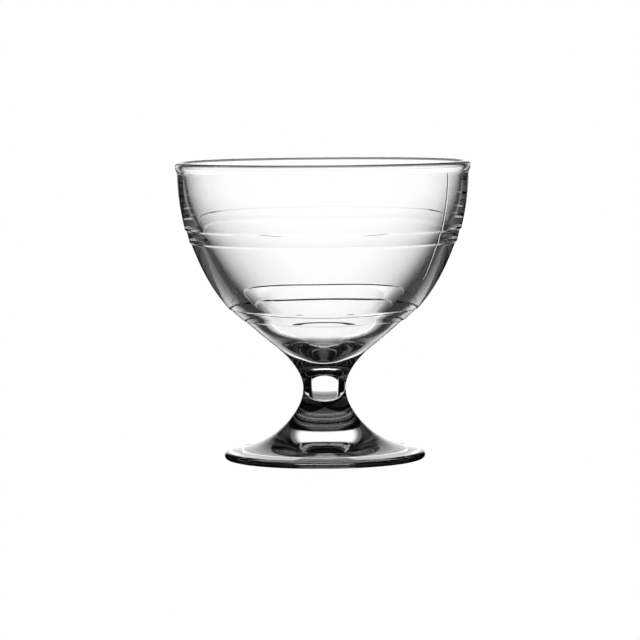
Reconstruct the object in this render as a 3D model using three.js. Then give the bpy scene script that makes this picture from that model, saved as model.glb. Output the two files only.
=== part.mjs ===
import * as THREE from 'three';

// Clear pressed glass on a short waisted stem. Millimetres, +Z up, standing on z = 0.

// Overall sizes
const glassHeight = 100;
const rimDiameter = 99.4;
const footDiameter = 67.6;

// Lip and the bead that the ring mould leaves under it
const lipThickness = 2.3;
const beadHeight = 3.5;
const beadProud = 0.7;
const beadTaper = 0.5;
const beadRunout = 0.5;
const beadHeading = 26;

// Upper band: a raised stretch between two stepped rings
const upperBandDrop = 22.6;
const upperBandHeight = 4.2;
const upperBandInset = 3.3;
const upperBandHeading = 13.3;
const upperRingStep = 0.65;
const secondRingStep = 0.63;
const upperRingRise = 0.55;
const upperBandWall = 4.7;

// Lower band: the same pair of rings, closer to the stem
const lowerBandTop = 18.1;
const lowerBandHeight = 3.85;
const lowerBandDiameter = 63.4;
const lowerBandHeading = 48;
const thirdRingStep = 0.65;
const fourthRingStep = 0.75;
const lowerRingRise = 0.2;
const lowerBandWall = 8.5;

// The wall's lean where it leaves or meets a band
const wallUnderLowerBand = 49;
const wallOverLowerBand = 42.3;
const wallUnderUpperBand = 20;

// Outside of the bowl between the stem and the lower band
const shoulderHeight = 5.5;
const shoulderRadius = 16.35;
const shoulderHeading = 51.7;

// Cavity: its lean at the lip and at each band, then a cone down to a round tip
const cavityLipHeading = 5.4;
const cavityBandHeading = 26.5;
const cavityLowHeading = 50;
const coneInset = 7.7;
const coneHeight = 10.9;
const coneHeading = 54;
const tipRound = 7.5;
const tipHeading = 58;
const bowlFloor = 2.7;

// Stem, from its fused face on the foot to its fused face under the bowl
const stemHeight = 18.4;
const stemTopRadius = 10.8;
const stemTopHeading = 37.4;
const waistRadius = 7.15;
const waistHeight = 9.7;
const stemFootRadius = 11.1;
const stemFootHeading = -37.7;

// Foot, hollowed a little underneath so that it stands on a ring
const footHeight = 14.1;
const footEdgeThickness = 2.7;
const footTopHeading = -82;
const footFlarePull = 0.38;
const bearingWidth = 3.2;
const underHollow = 1.6;
const underHollowRound = 5;

// How finely round stretches are divided
const aroundSteps = 64;
const stretchPull = 0.34;

// Levels that the three pieces share
const footTop = footHeight;
const stemTop = footTop + stemHeight;
const cavityFloor = stemTop + bowlFloor;
const rimRadius = rimDiameter / 2;
const footRadius = footDiameter / 2;

function point(radius, height) {
  return new THREE.Vector2(radius, height);
}

// A heading is the lean from straight up, in degrees, positive when the outline goes outward
function headingVector(heading) {
  const angle = THREE.MathUtils.degToRad(heading);
  return point(Math.sin(angle), Math.cos(angle));
}

// A smooth stretch that leaves one point at a heading and meets the next point at another
function stretch(start, startHeading, end, endHeading, steps, startPull = stretchPull, endPull = stretchPull) {
  const reach = start.distanceTo(end);
  const leave = start.clone().addScaledVector(headingVector(startHeading), reach * startPull);
  const meet = end.clone().addScaledVector(headingVector(endHeading), -reach * endPull);
  return new THREE.CubicBezierCurve(start, leave, meet, end).getPoints(steps);
}

// A round corner about a centre, from one angle to another in degrees
function round(centre, radius, fromAngle, toAngle, steps) {
  const points = [];
  for (let i = 0; i <= steps; i += 1) {
    const angle = THREE.MathUtils.degToRad(THREE.MathUtils.lerp(fromAngle, toAngle, i / steps));
    points.push(point(centre.x + radius * Math.cos(angle), centre.y + radius * Math.sin(angle)));
  }
  return points;
}

// The outline joined from its stretches, with the points that neighbours share kept once
function joinOutline(stretches) {
  const outline = [];
  for (const next of stretches.flat()) {
    const last = outline[outline.length - 1];
    if (!last || last.distanceTo(next) > 1e-4) outline.push(next);
  }
  return outline;
}

// A body turned from its outline, stood up so that the lathe's axis is +Z
function turned(name, outline, material) {
  const geometry = new THREE.LatheGeometry(outline, aroundSteps);
  geometry.rotateX(Math.PI / 2);
  const mesh = new THREE.Mesh(geometry, material);
  mesh.name = name;
  return mesh;
}

// The two rings of a band: the outline steps outward at each on its way up
function bandOutline(upperPoint, height, heading, rise, lowerStep, upperStep) {
  const run = height - rise;
  const faceTop = point(upperPoint.x - upperStep, upperPoint.y - rise);
  const faceBottom = faceTop.clone().addScaledVector(headingVector(heading), -run / headingVector(heading).y);
  const below = point(faceBottom.x - lowerStep, faceBottom.y - rise);
  return [below, faceBottom, faceTop, upperPoint];
}

function upperBand() {
  const top = point(rimRadius - upperBandInset, glassHeight - upperBandDrop);
  return bandOutline(top, upperBandHeight, upperBandHeading, upperRingRise, secondRingStep, upperRingStep);
}

function lowerBand() {
  const top = point(lowerBandDiameter / 2, stemTop + lowerBandTop);
  return bandOutline(top, lowerBandHeight, lowerBandHeading, lowerRingRise, fourthRingStep, thirdRingStep);
}

// From the fused face up the outside of the bowl to the underside of the bead
function bowlOutside() {
  const face = point(stemTopRadius, stemTop);
  const shoulder = point(shoulderRadius, stemTop + shoulderHeight);
  const low = lowerBand();
  const high = upperBand();
  const underBead = point(rimRadius - beadProud, glassHeight - beadHeight);
  return [
    stretch(face, stemTopHeading, shoulder, shoulderHeading, 4),
    stretch(shoulder, shoulderHeading, low[0], wallUnderLowerBand, 5),
    low,
    stretch(low[3], wallOverLowerBand, high[0], wallUnderUpperBand, 9),
    high,
    stretch(high[3], upperBandHeading, underBead, 0, 6),
  ];
}

// The bead, and the fire-polished lip over it
function lip() {
  const lipRound = lipThickness / 2;
  const centre = point(rimRadius - lipRound, glassHeight - lipRound);
  const beadFoot = point(rimRadius - beadTaper, glassHeight - beadHeight + beadRunout);
  const lipSide = point(rimRadius, glassHeight - lipRound);
  return [stretch(beadFoot, beadHeading, lipSide, 0, 3), round(centre, lipRound, 0, 180, 8)];
}

// The cavity that the plunger leaves, from the lip down to the middle of the floor
function cavity() {
  const lipInside = point(rimRadius - lipThickness, glassHeight - lipThickness / 2);
  const high = upperBand()[1];
  const low = lowerBand()[3];
  const bandInside = point(high.x - upperBandWall, high.y);
  const lowInside = point(low.x - lowerBandWall, low.y);
  const cone = point(lowInside.x - coneInset, stemTop + coneHeight);
  const tip = round(point(0, cavityFloor + tipRound), tipRound, -tipHeading, -90, 4);
  const down = 180;
  return [
    stretch(lipInside, down + cavityLipHeading, bandInside, down + cavityBandHeading, 6),
    stretch(bandInside, down + cavityBandHeading, lowInside, down + cavityLowHeading, 8),
    stretch(lowInside, down + cavityLowHeading, cone, down + coneHeading, 4),
    stretch(cone, down + coneHeading, tip[0], down + tipHeading, 4),
    tip,
  ];
}

function bowl(material) {
  const foundation = point(0, stemTop);
  return turned('bowl', joinOutline([[foundation], bowlOutside(), lip(), cavity()].flat()), material);
}

function stem(material) {
  const waist = point(waistRadius, footTop + waistHeight);
  const outline = joinOutline([
    [point(0, footTop)],
    stretch(point(stemFootRadius, footTop), stemFootHeading, waist, 0, 8),
    stretch(waist, 0, point(stemTopRadius, stemTop), stemTopHeading, 8),
    [point(0, stemTop)],
  ]);
  return turned('stem', outline, material);
}

// The hollow under the foot, from the middle out to the bearing ring
function underside(bearingInner) {
  const roundStart = point(bearingInner - underHollowRound, underHollow);
  return [
    [point(0, underHollow)],
    stretch(roundStart, 90, point(bearingInner, 0), 150, 6),
  ];
}

function foot(material) {
  const edgeRound = footEdgeThickness / 2;
  const bearingOuter = footRadius - edgeRound;
  const edgeCentre = point(bearingOuter, edgeRound);
  const edgeTop = point(bearingOuter, footEdgeThickness);
  const fusedEdge = point(stemFootRadius, footTop);
  const outline = joinOutline([
    underside(bearingOuter - bearingWidth),
    round(edgeCentre, edgeRound, -90, 90, 8),
    stretch(edgeTop, footTopHeading, fusedEdge, stemFootHeading, 9, stretchPull, footFlarePull),
    [point(0, footTop)],
  ].flat());
  return turned('foot', outline, material);
}

const clearGlass = new THREE.MeshStandardMaterial({
  color: 0xf4f7f6,
  roughness: 0.03,
  metalness: 0,
  transparent: true,
  opacity: 0.35,
});

const glass = new THREE.Group();
glass.add(bowl(clearGlass.clone()), stem(clearGlass.clone()), foot(clearGlass.clone()));

export default glass;
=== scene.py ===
import math

import bmesh
import bpy
from mathutils import Matrix, Vector
from mathutils.geometry import interpolate_bezier


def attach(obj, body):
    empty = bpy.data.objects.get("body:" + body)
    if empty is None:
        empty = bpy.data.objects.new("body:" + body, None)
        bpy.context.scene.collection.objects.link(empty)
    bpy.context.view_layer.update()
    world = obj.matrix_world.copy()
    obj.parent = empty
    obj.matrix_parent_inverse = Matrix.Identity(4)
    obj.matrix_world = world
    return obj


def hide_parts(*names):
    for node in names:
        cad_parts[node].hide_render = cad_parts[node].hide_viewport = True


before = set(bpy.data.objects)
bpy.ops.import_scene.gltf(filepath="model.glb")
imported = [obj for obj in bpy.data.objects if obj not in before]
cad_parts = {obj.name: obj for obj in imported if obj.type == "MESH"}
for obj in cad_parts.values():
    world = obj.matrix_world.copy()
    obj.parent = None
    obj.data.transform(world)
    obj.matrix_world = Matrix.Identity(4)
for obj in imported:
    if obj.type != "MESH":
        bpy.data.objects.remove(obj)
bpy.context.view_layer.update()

mm = 0.001
fullTurn = 2 * math.pi
down = 180  # a heading is the lean from straight up in degrees, so 180 runs downward
outward = 90
usualPull = 0.34  # how far the handles of a smooth stretch reach, as a share of its length
samePoint = 1e-5  # millimetres: outline points nearer than this are one
sameCorner = 1e-4
sameVertex = 1e-7  # metres, as the mesh is measured
white = (1, 1, 1, 1)


# Small helpers

def hexColor(text):
    parts = [int(text[i:i + 2], 16) / 255 for i in (1, 3, 5)]
    linear = [p / 12.92 if p <= 0.04045 else ((p + 0.055) / 1.055) ** 2.4 for p in parts]
    return (*linear, 1.0)


def addNode(tree, kind, settings=None, inputs=None):
    node = tree.nodes.new(kind)
    for key, value in (settings or {}).items():
        setattr(node, key, value)
    for key, value in (inputs or {}).items():
        if isinstance(value, bpy.types.NodeSocket):
            tree.links.new(value, node.inputs[key])
        else:
            node.inputs[key].default_value = value
    return node


# Takes an operation along its values in turn: each is a number or what another node gives
def compute(tree, operation, *values):
    result = values[0]
    for value in values[1:] or (0.0,):
        result = addNode(tree, "ShaderNodeMath", {"operation": operation}, {0: result, 1: value}).outputs[0]
    return result


# Goes softly from 0 at the start to 1 at the end, which may also be the lower value
def softRise(tree, value, start, end):
    return addNode(tree, "ShaderNodeMapRange", {"interpolation_type": "SMOOTHSTEP"}, {
        "Value": value, "From Min": start, "From Max": end, "To Min": 0.0, "To Max": 1.0}).outputs[0]


def fromAxis(tree, place):
    squares = [compute(tree, "MULTIPLY", place[axis], place[axis]) for axis in ("X", "Y")]
    return compute(tree, "SQRT", compute(tree, "ADD", *squares))


# Outlines are drawn in millimetres as radius and height, and turned round the axis at the end

def at(radius, height):
    return Vector((radius, 0, height))


def headingVector(heading):
    angle = math.radians(heading)
    return Vector((math.sin(angle), 0, math.cos(angle)))


def stretch(start, startHeading, end, endHeading, steps, startPull=usualPull, endPull=usualPull):
    reach = (end - start).length
    leave = start + headingVector(startHeading) * reach * startPull
    meet = end - headingVector(endHeading) * reach * endPull
    return [Vector(p) for p in interpolate_bezier(start, leave, meet, end, steps + 1)]


def arc(centre, radius, fromAngle, toAngle, steps):
    angles = [math.radians(fromAngle + (toAngle - fromAngle) * i / steps) for i in range(steps + 1)]
    return [centre + Vector((radius * math.cos(a), 0, radius * math.sin(a))) for a in angles]


def joinOutline(stretches):
    outline = []
    for part in stretches:
        for point in part:
            if not outline or (point - outline[-1]).length > samePoint:
                outline.append(point)
    return outline


glass = {
    "height": 100,
    "rimRadius": 49.7,
    "footRadius": 33.8,
    "stemTop": 32.5,
    "footTop": 14.1,
    "around": 256,  # divisions round the axis
}


# Bowl

lip = {
    "thickness": 2.3,
    "beadHeight": 3.5,
    "beadProud": 0.7,
    "beadTaper": 0.5,
    "beadHeading": 26,
    "beadRunout": 0.5,
}

bands = {
    "cornerRound": 0.06,
    "cornerSegments": 4,
    "upperTop": 77.4,
    "upperHeight": 4.2,
    "upperRadius": 46.4,
    "upperHeading": 13.3,
    "upperRingStep": 0.65,
    "secondRingStep": 0.63,
    "upperRise": 0.55,
    "upperWall": 4.7,
    "lowerTop": 50.6,
    "lowerHeight": 3.85,
    "lowerRadius": 31.7,
    "lowerHeading": 48,
    "thirdRingStep": 0.65,
    "fourthRingStep": 0.75,
    "lowerRise": 0.27,
    "lowerWall": 8.5,
}

bowlShape = {
    "floorHeight": 35.2,
    "tipRound": 7.5,
    "tipHeading": 58,
    "cone": (15.5, 43.4),  # radius and height
    "coneHeading": 54,
    "shoulder": (16.35, 38.0),
    "shoulderHeading": 51.7,
    "underLowerBand": 49,
    "overLowerBand": 42.3,
    "underUpperBand": 20,
    "cavityLip": 5.4,
    "cavityBand": 26.5,
    "cavityLow": 50,
}

# How many steps divide each stretch of the bowl's outline
bowlSteps = {
    "shoulder": 24,
    "underLowerBand": 24,
    "betweenBands": 40,
    "overUpperBand": 28,
    "bead": 8,
    "lip": 24,
    "cavityTop": 28,
    "cavityMiddle": 36,
    "cavityLow": 16,
    "cone": 16,
    "tip": 12,
}

mouldSeams = {
    "turn": 56.5,  # degrees from the front towards the right, and the same line on the opposite side
    "halfWidth": 0.17,
    "cuts": (-1, -0.5, 0, 0.5, 1),  # where the wall is cut across the ridge, in half widths
    "frontHeight": 0.19,
    "backHeight": 0.03,  # the photo shows the seam at the back much more faintly
    "bottom": 62,
    "top": 96.4,
}


# The two rings of a band: the outline steps outward at each on its way up
def bandOutline(top, height, heading, rise, lowerStep, upperStep):
    faceTop = top - Vector((upperStep, 0, rise))
    run = height - rise
    faceBottom = faceTop - headingVector(heading) * run / headingVector(heading).z
    below = faceBottom - Vector((lowerStep, 0, rise))
    return [below, faceBottom, faceTop, top]


def upperBand():
    top = at(bands["upperRadius"], bands["upperTop"])
    return bandOutline(top, bands["upperHeight"], bands["upperHeading"], bands["upperRise"],
                       bands["secondRingStep"], bands["upperRingStep"])


def lowerBand():
    top = at(bands["lowerRadius"], bands["lowerTop"])
    return bandOutline(top, bands["lowerHeight"], bands["lowerHeading"], bands["lowerRise"],
                       bands["fourthRingStep"], bands["thirdRingStep"])


def bowlOutside(low, high):
    shape, steps = bowlShape, bowlSteps
    face = at(stemShape["topRadius"], glass["stemTop"])
    shoulder = at(*shape["shoulder"])
    underBead = at(glass["rimRadius"] - lip["beadProud"], glass["height"] - lip["beadHeight"])
    return [
        stretch(face, stemShape["topHeading"], shoulder, shape["shoulderHeading"], steps["shoulder"]),
        stretch(shoulder, shape["shoulderHeading"], low[0], shape["underLowerBand"], steps["underLowerBand"]),
        low,
        stretch(low[3], shape["overLowerBand"], high[0], shape["underUpperBand"], steps["betweenBands"]),
        high,
        stretch(high[3], bands["upperHeading"], underBead, 0, steps["overUpperBand"]),
    ]


def lipOutline(lipCentre, lipRound):
    beadLow = glass["height"] - lip["beadHeight"]
    beadFoot = at(glass["rimRadius"] - lip["beadTaper"], beadLow + lip["beadRunout"])
    lipSide = lipCentre + Vector((lipRound, 0, 0))
    return [
        stretch(beadFoot, lip["beadHeading"], lipSide, 0, bowlSteps["bead"]),
        arc(lipCentre, lipRound, 0, 180, bowlSteps["lip"]),
    ]


# The cavity runs down along the wall, then as a cone to a round tip over the stem
def cavityOutline(lipInside, low, high):
    shape, steps = bowlShape, bowlSteps
    lipLean, bandLean, lowLean, coneLean, tipLean = [
        down + shape[key] for key in ("cavityLip", "cavityBand", "cavityLow", "coneHeading", "tipHeading")]
    bandInside = high[1] - Vector((bands["upperWall"], 0, 0))
    lowInside = low[3] - Vector((bands["lowerWall"], 0, 0))
    cone = at(*shape["cone"])
    tipCentre = at(0, shape["floorHeight"] + shape["tipRound"])
    tip = arc(tipCentre, shape["tipRound"], -shape["tipHeading"], -90, steps["tip"])
    return [
        stretch(lipInside, lipLean, bandInside, bandLean, steps["cavityTop"]),
        stretch(bandInside, bandLean, lowInside, lowLean, steps["cavityMiddle"]),
        stretch(lowInside, lowLean, cone, coneLean, steps["cavityLow"]),
        stretch(cone, coneLean, tip[0], tipLean, steps["cone"]),
        tip[:-1],
        [at(0, shape["floorHeight"])],
    ]


def bowlOutline():
    low, high = lowerBand(), upperBand()
    lipRound = lip["thickness"] / 2
    lipCentre = at(glass["rimRadius"] - lipRound, glass["height"] - lipRound)
    lipInside = lipCentre - Vector((lipRound, 0, 0))
    return joinOutline([
        [at(0, glass["stemTop"])],
        *bowlOutside(low, high),
        *lipOutline(lipCentre, lipRound),
        *cavityOutline(lipInside, low, high),
    ])


# Stem

stemShape = {
    "topRadius": 10.8,
    "topHeading": 37.4,
    "waistRadius": 7.15,
    "waistHeight": 23.8,
    "footRadius": 11.1,
    "footHeading": -37.7,
    "steps": 32,  # on each side of the waist
}


def stemOutline():
    shape = stemShape
    bottom = at(shape["footRadius"], glass["footTop"])
    waist = at(shape["waistRadius"], shape["waistHeight"])
    top = at(shape["topRadius"], glass["stemTop"])
    return joinOutline([
        [at(0, glass["footTop"])],
        stretch(bottom, shape["footHeading"], waist, 0, shape["steps"]),
        stretch(waist, 0, top, shape["topHeading"], shape["steps"]),
        [at(0, glass["stemTop"])],
    ])


# Foot

footShape = {
    "edgeThickness": 2.7,
    "topHeading": -82,
    "flarePull": 0.38,
    "bearingWidth": 3.2,
    "hollow": 1.6,
    "hollowRound": 5,
    "hollowHeading": 150,  # the hollow's lean where it meets the bearing ring
    "hollowSteps": 16,
    "edgeSteps": 20,
    "flareSteps": 48,
}


def footOutline():
    shape = footShape
    edgeRound = shape["edgeThickness"] / 2
    bearingOuter = glass["footRadius"] - edgeRound
    bearingInner = bearingOuter - shape["bearingWidth"]
    hollowStart = at(bearingInner - shape["hollowRound"], shape["hollow"])
    hollowEnd = at(bearingInner, 0)
    edgeTop = at(bearingOuter, shape["edgeThickness"])
    fused = at(stemShape["footRadius"], glass["footTop"])
    return joinOutline([
        [at(0, shape["hollow"])],
        stretch(hollowStart, outward, hollowEnd, shape["hollowHeading"], shape["hollowSteps"]),
        arc(at(bearingOuter, edgeRound), edgeRound, -90, 90, shape["edgeSteps"]),
        stretch(edgeTop, shape["topHeading"], fused, stemShape["footHeading"], shape["flareSteps"],
                usualPull, shape["flarePull"]),
        [at(0, glass["footTop"])],
    ])


# Turning an outline into a piece

# The mould halves meet in a hairline ridge: the wall is cut along and beside it, and the cuts are lifted
def raiseSeams(bm, shape):
    angle = math.radians(shape["turn"])
    sideways = Vector((math.cos(angle), math.sin(angle), 0))
    halfWidth = shape["halfWidth"] * mm
    for cut in shape["cuts"]:
        bmesh.ops.bisect_plane(bm, geom=bm.verts[:] + bm.edges[:] + bm.faces[:], dist=sameVertex,
                               plane_co=sideways * cut * halfWidth, plane_no=sideways)
    bm.normal_update()
    lifts = []
    for v in bm.verts:
        away = Vector((v.co.x, v.co.y, 0))
        share = 1 - abs(v.co.dot(sideways)) / halfWidth
        inHeight = shape["bottom"] * mm < v.co.z < shape["top"] * mm
        if inHeight and share > 0 and v.normal.dot(away) > 0:
            height = shape["frontHeight"] if v.co.y < 0 else shape["backHeight"]
            lifts.append((v, away.normalized() * share * height * mm))
    for v, lift in lifts:
        v.co += lift


def liesAt(face, height):
    return all(abs(v.co.z - height * mm) < sameVertex for v in face.verts)


# A fused face carries the second material, and its edge is kept sharp
def turnedBody(name, outline, jointHeights, materials, sharpCorners=(), seams=None):
    bm = bmesh.new()
    verts = [bm.verts.new(point * mm) for point in outline]
    for pair in zip(verts, verts[1:]):
        bm.edges.new(pair)
    corners = [v for v, point in zip(verts, outline)
               if any((point - corner).length < sameCorner for corner in sharpCorners)]
    if corners:
        bmesh.ops.bevel(bm, geom=corners, offset=bands["cornerRound"] * mm, offset_type="OFFSET",
                        segments=bands["cornerSegments"], profile=0.5, affect="VERTICES", material=-1)
    bmesh.ops.spin(bm, geom=bm.verts[:] + bm.edges[:], cent=(0, 0, 0), axis=(0, 0, 1),
                   angle=fullTurn, steps=glass["around"], use_merge=True)
    bmesh.ops.remove_doubles(bm, verts=bm.verts[:], dist=sameVertex)
    bmesh.ops.recalc_face_normals(bm, faces=bm.faces[:])
    for face in bm.faces:
        face.smooth = True
        if any(liesAt(face, height) for height in jointHeights):
            face.material_index = 1
    for edge in bm.edges:
        edge.smooth = len({face.material_index for face in edge.link_faces}) == 1
    if seams:
        raiseSeams(bm, seams)
    mesh = bpy.data.meshes.new(name)
    bm.to_mesh(mesh)
    bm.free()
    for material in materials:
        mesh.materials.append(material)
    piece = bpy.data.objects.new(name, mesh)
    bpy.context.scene.collection.objects.link(piece)
    print(name, "turned,", len(mesh.polygons), "faces")
    return piece


# Materials

glassFinish = {
    "tint": "#FEFEFE",
    "ior": 1.52,
    "roughness": 0.0,
    "waveLength": 22,
    "waveHeight": 0.03,  # from the middle of a wave to its crest
    "waveDetail": 1.0,
}

# Painted shade: the foot's rounded edge gets a dark grey tint in its colour, which stands in for shade and
# not for a colour of the glass
footEdgePaintedShade = {
    "start": 32.2,  # millimetres from the axis
    "full": 32.8,
    "tint": "#3C3E3E",
}


# How far a place is within the rounded edge of the foot, from 0 to 1: this is where the painted shade is laid
def paintedShadeEdgeMask(tree, place):
    parts = addNode(tree, "ShaderNodeSeparateXYZ", None, {0: place}).outputs
    return softRise(tree, fromAxis(tree, parts), footEdgePaintedShade["start"] * mm, footEdgePaintedShade["full"] * mm)


# Clear soda-lime glass, pressed in a mould and polished by fire: it has no colour of its own, its skin is
# fully glossy, and the slow waves that the mould leaves make what is seen in it swim a little
# Where a mask is given, the glass is tinted dark there. That tint is painted shade, not a colour of the glass
def pressedGlass(name, paintedShadeMask=None, paintedShadeTint=None):
    material = bpy.data.materials.new(name)
    material.use_nodes = True
    tree = material.node_tree
    tree.nodes.clear()
    place = addNode(tree, "ShaderNodeTexCoord").outputs["Object"]
    wave = addNode(tree, "ShaderNodeTexNoise", None, {
        "Vector": place,
        "Scale": 1 / (glassFinish["waveLength"] * mm),
        "Detail": glassFinish["waveDetail"],
    })
    surface = addNode(tree, "ShaderNodeBump", None, {
        "Height": wave.outputs[0], "Distance": 2 * glassFinish["waveHeight"] * mm})
    color = hexColor(glassFinish["tint"])
    # The painted shade: the dark tint is mixed into the glass's colour as far as the mask reaches
    if paintedShadeMask:  # sockets 6 and 7 are the node's two colours
        color = addNode(tree, "ShaderNodeMix", {"data_type": "RGBA"}, {
            "Factor": paintedShadeMask(tree, place), 6: color, 7: hexColor(paintedShadeTint)}).outputs[2]
    shader = addNode(tree, "ShaderNodeBsdfPrincipled", None, {
        "Base Color": color,
        "Roughness": glassFinish["roughness"],
        "IOR": glassFinish["ior"],
        "Transmission Weight": 1.0,
        "Normal": surface.outputs[0],
    })
    addNode(tree, "ShaderNodeOutputMaterial", None, {"Surface": shader.outputs["BSDF"]})
    return material


# Glass fused hot to glass has no surface left there: light passes straight on, so the three pieces bend it
# as one body
def fusedJoint():
    material = bpy.data.materials.new("fusedGlassJoint")
    material.use_nodes = True
    tree = material.node_tree
    tree.nodes.clear()
    clear = addNode(tree, "ShaderNodeBsdfTransparent").outputs[0]
    addNode(tree, "ShaderNodeOutputMaterial", None, {"Surface": clear})
    return material


jointGlass = fusedJoint()
clearGlass = pressedGlass("pressedGlassClear")
# The foot is the same glass. Its rounded edge lies black in shade, and the dark tint is painted shade that
# stands in for that
footGlassWithPaintedShade = pressedGlass("pressedGlassPaintedShadeEdge", paintedShadeEdgeMask, footEdgePaintedShade["tint"])
print("materials ready:", clearGlass.name, footGlassWithPaintedShade.name, jointGlass.name)

bowl = turnedBody("glassBowl", bowlOutline(), [glass["stemTop"]], [clearGlass, jointGlass],
                  upperBand() + lowerBand(), mouldSeams)
stem = turnedBody("glassStem", stemOutline(), [glass["stemTop"], glass["footTop"]], [clearGlass, jointGlass])
foot = turnedBody("glassFoot", footOutline(), [glass["footTop"]], [footGlassWithPaintedShade, jointGlass])
for piece, node in ((bowl, "bowl"), (stem, "stem"), (foot, "foot")):
    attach(piece, "root")
    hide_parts(node)


# Camera, fitted to the photograph's angle and distance

cameraView = {
    "lens": 198.5,
    "distance": 1186,
    "elevation": 4.16,
    "roll": 0.47,
    "aimHeight": 46.62,
    "aimAside": -1.32,
}


def makeCamera():
    data = bpy.data.cameras.new("photoCamera")
    data.lens = cameraView["lens"]
    camera = bpy.data.objects.new("photoCamera", data)
    bpy.context.scene.collection.objects.link(camera)
    tilt, roll = math.radians(cameraView["elevation"]), math.radians(cameraView["roll"])
    back = Vector((0, -math.cos(tilt), math.sin(tilt)))
    up = Vector((0, math.sin(tilt), math.cos(tilt)))
    right = Vector((1, 0, 0))
    rolledUp = up * math.cos(roll) + right * math.sin(roll)
    rolledRight = right * math.cos(roll) - up * math.sin(roll)
    aim = Vector((cameraView["aimAside"] * mm, 0, cameraView["aimHeight"] * mm))
    place = Matrix((rolledRight, rolledUp, back)).transposed().to_4x4()
    place.translation = aim + back * (cameraView["distance"] * mm)
    camera.matrix_world = place
    bpy.context.scene.camera = camera
    print("camera placed", cameraView["distance"], "mm away")


makeCamera()


# Studio. To the camera the page and the table are plain white. The light that reaches the camera through
# the glass depends on the ray: on where it heads, and on how often it was bent and mirrored on its way.
# A turn is measured in degrees from straight behind the glass towards the right, and a rise from level
# upward. A span is (from, to, soft edge), and the stops of a falloff are (rise, level)

studio = {
    "floorSize": 6000,
    "pageGlow": 1.0,  # page and table as the camera sees them
    "openGlow": 1.22,  # and as they are seen through the glass
    "darkGlow": 0.001,  # what the unlit parts of the studio still give
    "panelTurns": (-1.5, -96, 135),  # lit panels stand straight behind the glass and on two other sides
    "panelHalfWidth": 28,
    "panelEdge": 2.5,
    "panelTop": 17,
    "panelGlow": 1.3,
    "darkTable": (-29, 62, 3),  # on these turns the table darkens towards the glass
    "nearTableReach": 60,  # on the others it stays bright this many degrees further down
}

# A ray is of a kind when it has crossed the glass or been mirrored more often than the number says
rayKinds = {
    "inside": ("Transmission Depth", 0.5),
    "bothWalls": ("Transmission Depth", 3.5),
    "mirrored": ("Glossy Depth", 0.5),
    "mirroredAgain": ("Glossy Depth", 1.5),
    "mirroredMost": ("Glossy Depth", 4.5),
}


def within(tree, value, low, high, edge):
    rising = softRise(tree, value, low - edge, low + edge)
    return compute(tree, "MULTIPLY", rising, softRise(tree, value, high + edge, high - edge))


def outsideOf(tree, value, low, high, edge):
    return compute(tree, "SUBTRACT", 1.0, within(tree, value, low, high, edge))


def falloff(tree, value, stops):
    low, high = stops[0][0], stops[-1][0]
    place = addNode(tree, "ShaderNodeMapRange", None, {"Value": value, "From Min": low, "From Max": high})
    curve = addNode(tree, "ShaderNodeValToRGB", None, {"Fac": place.outputs[0]})
    elements = curve.color_ramp.elements
    while len(elements) < len(stops):
        elements.new(0.5)  # anywhere, as each is placed below
    for element, (rise, level) in zip(elements, stops):
        element.position = (rise - low) / (high - low)
        element.color = (level, level, level, 1)
    return curve.outputs["Color"]


def pick(tree, when, usual, other):
    return addNode(tree, "ShaderNodeMix", None, {"Factor": when, "A": usual, "B": other}).outputs[0]


def turnOf(tree, place):
    return compute(tree, "DEGREES", compute(tree, "ARCTAN2", place["X"], place["Y"]))


# What the light is worked out from: where the ray heads, which panels stand there, and what kind it is
def readRay(tree):
    path = addNode(tree, "ShaderNodeLightPath").outputs
    heading = addNode(tree, "ShaderNodeTexCoord").outputs["Object"]
    parts = addNode(tree, "ShaderNodeSeparateXYZ", None, {0: heading}).outputs
    turn = turnOf(tree, parts)
    rise = compute(tree, "DEGREES", compute(tree, "ARCSINE", parts["Z"]))
    half, edge = studio["panelHalfWidth"], studio["panelEdge"]
    panels = [within(tree, turn, side - half, side + half, edge) for side in studio["panelTurns"]]
    lifted = outsideOf(tree, turn, *studio["darkTable"])
    lifted = compute(tree, "MULTIPLY", lifted, studio["nearTableReach"])
    ray = {
        "camera": path["Is Camera Ray"],
        "turn": turn,
        "rise": rise,
        "tableRise": compute(tree, "ADD", rise, lifted),
        "backPanel": panels[0],
        "panels": compute(tree, "MAXIMUM", *panels),
    }
    for kind, (depth, count) in rayKinds.items():
        ray[kind] = compute(tree, "GREATER_THAN", path[depth], count)
    return ray


# Rays that cross both walls of the bowl bend little: they see a wide page, a little dimmer on the right
bothWallsView = {
    "dimTurn": (14, 56, 7),
    "dimGlow": 0.72,
    "tableStops": ((-90, 1.0), (-62, 0.9), (-52, 0.05), (-44, 0.12), (-36, 0.13), (-31, 0.22), (-26, 0.32),
                   (-21, 0.5), (-16, 0.76), (-11, 1.0), (90, 1.0)),
}


def bothWallsLight(tree, ray):
    onDimSide = within(tree, ray["turn"], *bothWallsView["dimTurn"])
    glow = pick(tree, onDimSide, studio["openGlow"], bothWallsView["dimGlow"])
    return compute(tree, "MULTIPLY", glow, falloff(tree, ray["tableRise"], bothWallsView["tableStops"]))


# Rays through the solid stem and foot bend more: past the panels' edges they see the dark studio
solidView = {
    "top": 37,
    "topEdge": 4,
    "topDroop": 0.0225,  # how fast the panel's top edge falls towards its sides
    "steep": (-50, -58),  # rays that head down more than this see the table on every turn
    "aheadTurn": (-40, 40, 2),  # beside these turns the table is lit as well
    "besideRise": (-46, -22, 2),
    "tableStops": ((-90, 1.0), (-62, 0.9), (-52, 0.05), (-44, 0.12), (-34, 0.22), (-30, 0.3), (-25, 0.2),
                   (-21, 0.22), (-17, 0.34), (-14, 0.45), (-10.5, 0.95), (-9, 1.0), (90, 1.0)),
}


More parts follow.
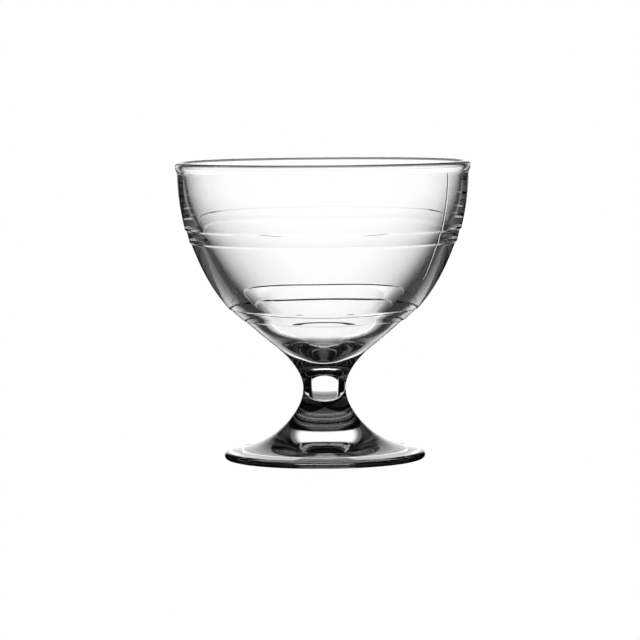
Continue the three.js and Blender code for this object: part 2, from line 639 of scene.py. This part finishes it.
def solidLight(tree, ray):
    turn, rise = ray["turn"], ray["rise"]
    top, edge = solidView["top"], solidView["topEdge"]
    droop = compute(tree, "MULTIPLY", turn, turn, ray["backPanel"], solidView["topDroop"])
    underTop = softRise(tree, compute(tree, "ADD", rise, droop), top + edge, top - edge)
    lit = compute(tree, "MULTIPLY", ray["panels"], underTop)
    lit = compute(tree, "MAXIMUM", lit, softRise(tree, rise, *solidView["steep"]))
    table = falloff(tree, ray["tableRise"], solidView["tableStops"])
    lit = compute(tree, "MULTIPLY", lit, table, studio["openGlow"])
    beside = outsideOf(tree, turn, *solidView["aheadTurn"])
    beside = compute(tree, "MULTIPLY", beside, within(tree, rise, *solidView["besideRise"]))
    return compute(tree, "MAXIMUM", lit, beside)


# Rays mirrored once inside the solid glass see the panel behind it up to its top edge, and a dim fill
onceView = {
    "halfWidth": 22,
    "edge": 5,
    "otherPanels": 0.15,
    "tableStops": ((-90, 0.02), (-45, 0.06), (-36, 0.08), (-31, 0.1), (-26, 0.14),
                   (-21, 0.25), (-17, 0.45), (-12, 0.8), (-8, 1.0), (90, 1.0)),
    "fillTurn": (-46, 46, 4),
    "fillRise": (-42, 8, 4),
    "fillGlow": 0.05,
}


def panelAhead(tree, ray):
    middle, half = studio["panelTurns"][0], onceView["halfWidth"]
    ahead = within(tree, ray["turn"], middle - half, middle + half, onceView["edge"])
    others = compute(tree, "MULTIPLY", ray["panels"], onceView["otherPanels"])
    return compute(tree, "MAXIMUM", ahead, others)


def panelLight(tree, ray, ahead):
    top, edge = studio["panelTop"], studio["panelEdge"]
    underTop = softRise(tree, ray["rise"], top + edge, top - edge)
    table = falloff(tree, ray["rise"], onceView["tableStops"])
    return compute(tree, "MULTIPLY", ahead, underTop, table, studio["panelGlow"])


def onceLight(tree, ray, panel):
    fill = compute(tree, "MULTIPLY", within(tree, ray["rise"], *onceView["fillRise"]),
                   within(tree, ray["turn"], *onceView["fillTurn"]), onceView["fillGlow"])
    return compute(tree, "MAXIMUM", panel, fill)


# Rays mirrored more often see a dim image of that panel, and those mirrored most see a soft grey
againView = {
    "panelShare": 0.4,
    "aheadRise": (-62, 44, 4),
    "aheadGlow": 0.05,
    "fillGlow": 0.002,
    "mostRise": (0, 40, 4),
    "mostGlow": 0.14,
}


def againLight(tree, ray, panel, ahead):
    dim = compute(tree, "MULTIPLY", ahead, within(tree, ray["rise"], *againView["aheadRise"]),
                  againView["aheadGlow"])
    image = compute(tree, "MULTIPLY", panel, againView["panelShare"])
    image = compute(tree, "ADD", image, dim, againView["fillGlow"])
    most = compute(tree, "MULTIPLY", ray["mirroredMost"], within(tree, ray["rise"], *againView["mostRise"]),
                   againView["mostGlow"])
    return compute(tree, "MAXIMUM", image, most)


# Rays mirrored once in the bowl's wall see a strong lamp high behind the glass. Those mirrored along the
# wall see a soft light, and the others a weak fill
wallView = {
    "lampTurn": (-28, 26, 3),
    "lampRise": (18, 56, 4),
    "lampGlow": 4.0,
    "alongRise": (6, 36, 3),
    "alongGlow": 0.5,
    "fillGlow": 0.03,
}


def wallLight(tree, ray):
    lamp = compute(tree, "MULTIPLY", within(tree, ray["turn"], *wallView["lampTurn"]),
                   within(tree, ray["rise"], *wallView["lampRise"]), wallView["lampGlow"])
    along = compute(tree, "MULTIPLY", ray["mirroredMost"], within(tree, ray["rise"], *wallView["alongRise"]),
                    wallView["alongGlow"])
    return pick(tree, ray["mirroredAgain"], lamp, compute(tree, "MAXIMUM", along, wallView["fillGlow"]))


# Rays that only glance off the outside see the page straight behind, above the table's edge
skinView = {
    "turn": (-14, 14, 8),
    "rise": (-3.4, 30, 1),
    "glow": 1.4,
}


def skinLight(tree, ray):
    return compute(tree, "MULTIPLY", within(tree, ray["turn"], *skinView["turn"]),
                   within(tree, ray["rise"], *skinView["rise"]), skinView["glow"])


def makeWorld():
    world = bpy.data.worlds.new("studio")
    bpy.context.scene.world = world
    world.use_nodes = True
    tree = world.node_tree
    tree.nodes.clear()
    ray = readRay(tree)
    ahead = panelAhead(tree, ray)
    panel = panelLight(tree, ray, ahead)
    mirrored = pick(tree, ray["mirroredAgain"], onceLight(tree, ray, panel),
                    againLight(tree, ray, panel, ahead))
    thickGlass = pick(tree, ray["mirrored"], solidLight(tree, ray), mirrored)
    thinGlass = pick(tree, ray["mirrored"], bothWallsLight(tree, ray), wallLight(tree, ray))
    bent = pick(tree, ray["bothWalls"], thickGlass, thinGlass)
    light = pick(tree, ray["inside"], skinLight(tree, ray), bent)
    light = compute(tree, "ADD", light, studio["darkGlow"])
    strength = pick(tree, ray["camera"], light, studio["pageGlow"])
    sky = addNode(tree, "ShaderNodeBackground", None, {"Color": white, "Strength": strength})
    addNode(tree, "ShaderNodeOutputWorld", None, {"Surface": sky.outputs[0]})
    print("studio light made,", len(tree.nodes), "nodes")


# The table. Only the camera sees it everywhere. Rays through the glass see the studio's light in its place,
# apart from those that cross one wall of the bowl and land well away from the glass
tableView = {
    "reach": (140, 160),  # millimetres from the axis
    "aheadTurn": (-18, 18, 4),  # the stretch straight behind is left to the studio's light
    "leave": (12, 16),  # rays that leave the glass nearer to its axis, as from the stem, are left out
    "oneWall": (1.5, 2.5, 0.1),  # two crossings
    "mirrored": 0.5,
}


def seesTable(tree):
    path = addNode(tree, "ShaderNodeLightPath").outputs
    place = addNode(tree, "ShaderNodeTexCoord").outputs["Object"]
    parts = addNode(tree, "ShaderNodeSeparateXYZ", None, {0: place}).outputs
    reach = fromAxis(tree, parts)
    leave = compute(tree, "SUBTRACT", reach, path["Ray Length"])  # about where the ray left the glass
    reachStart, reachFull = [side * mm for side in tableView["reach"]]
    leaveStart, leaveFull = [side * mm for side in tableView["leave"]]
    away = compute(tree, "MULTIPLY", softRise(tree, reach, reachStart, reachFull),
                   outsideOf(tree, turnOf(tree, parts), *tableView["aheadTurn"]),
                   softRise(tree, leave, leaveStart, leaveFull))
    oneWall = within(tree, path["Transmission Depth"], *tableView["oneWall"])
    straight = compute(tree, "LESS_THAN", path["Glossy Depth"], tableView["mirrored"])
    farTable = compute(tree, "MULTIPLY", away, oneWall, straight)
    return compute(tree, "MAXIMUM", path["Is Camera Ray"], farTable)


def makeFloor():
    bm = bmesh.new()
    bmesh.ops.create_grid(bm, x_segments=1, y_segments=1, size=studio["floorSize"] * mm / 2)
    mesh = bpy.data.meshes.new("studioFloor")
    bm.to_mesh(mesh)
    bm.free()
    floor = bpy.data.objects.new("studioFloor", mesh)
    bpy.context.scene.collection.objects.link(floor)
    material = bpy.data.materials.new("paleFloor")
    material.use_nodes = True
    tree = material.node_tree
    tree.nodes.clear()
    clear = addNode(tree, "ShaderNodeBsdfTransparent").outputs[0]
    page = addNode(tree, "ShaderNodeEmission", None, {
        "Color": white, "Strength": studio["pageGlow"]}).outputs[0]
    seen = addNode(tree, "ShaderNodeMixShader", None, {0: seesTable(tree), 1: clear, 2: page})
    addNode(tree, "ShaderNodeOutputMaterial", None, {"Surface": seen.outputs[0]})
    mesh.materials.append(material)
    print("floor laid")


makeWorld()
makeFloor()

# Light meets many surfaces in a glass, and a path that is cut short in it shows black
bounces = {"max": 32, "glossy": 24, "transmission": 32, "transparent": 32}

scene = bpy.context.scene
scene.view_settings.view_transform = "Standard"
scene.cycles.max_bounces = bounces["max"]
scene.cycles.glossy_bounces = bounces["glossy"]
scene.cycles.transmission_bounces = bounces["transmission"]
scene.cycles.transparent_max_bounces = bounces["transparent"]
